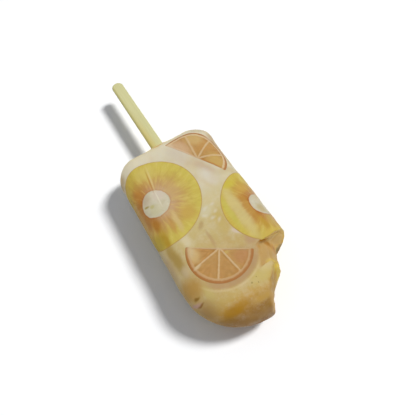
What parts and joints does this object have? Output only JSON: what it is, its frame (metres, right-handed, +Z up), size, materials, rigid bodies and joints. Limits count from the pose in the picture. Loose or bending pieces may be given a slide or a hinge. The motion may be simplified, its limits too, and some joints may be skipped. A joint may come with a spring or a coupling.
{
  "type": "ice lolly",
  "caption": "Flat fruit ice lolly with a half-round tip and full-round edges, golden kiwi and orange slices set in both faces, a bite out of one corner and a flat wooden stick.",
  "frame": {"origin": "on the face it lies on, under the middle of the whole length and width", "axes": "+Y along the stick, away from the tip; +Z up, out of the face with the shown slices; +X towards the bitten side"},
  "size_m": [0.055, 0.166, 0.024],
  "materials": {
    "fruit_ice": "cloudy cream fruit ice, amber towards the tip, wet sheen",
    "golden_kiwi": "frozen golden kiwi flesh with a white core, wet sheen",
    "orange": "frozen orange segments, pale pith and rind, wet sheen",
    "birch_stick": "plain unvarnished wood, matt"
  },
  "bodies": {
    "root": {"ice_bar": "fruit_ice", "kiwi_slice_left": "golden_kiwi", "kiwi_slice_right": "golden_kiwi", "kiwi_slice_back": "golden_kiwi", "orange_slice_tip": "orange", "orange_slice_corner": "orange", "orange_slice_back_tip": "orange", "orange_slice_back_corner": "orange", "stick": "birch_stick"}
  },
  "joints": []
}
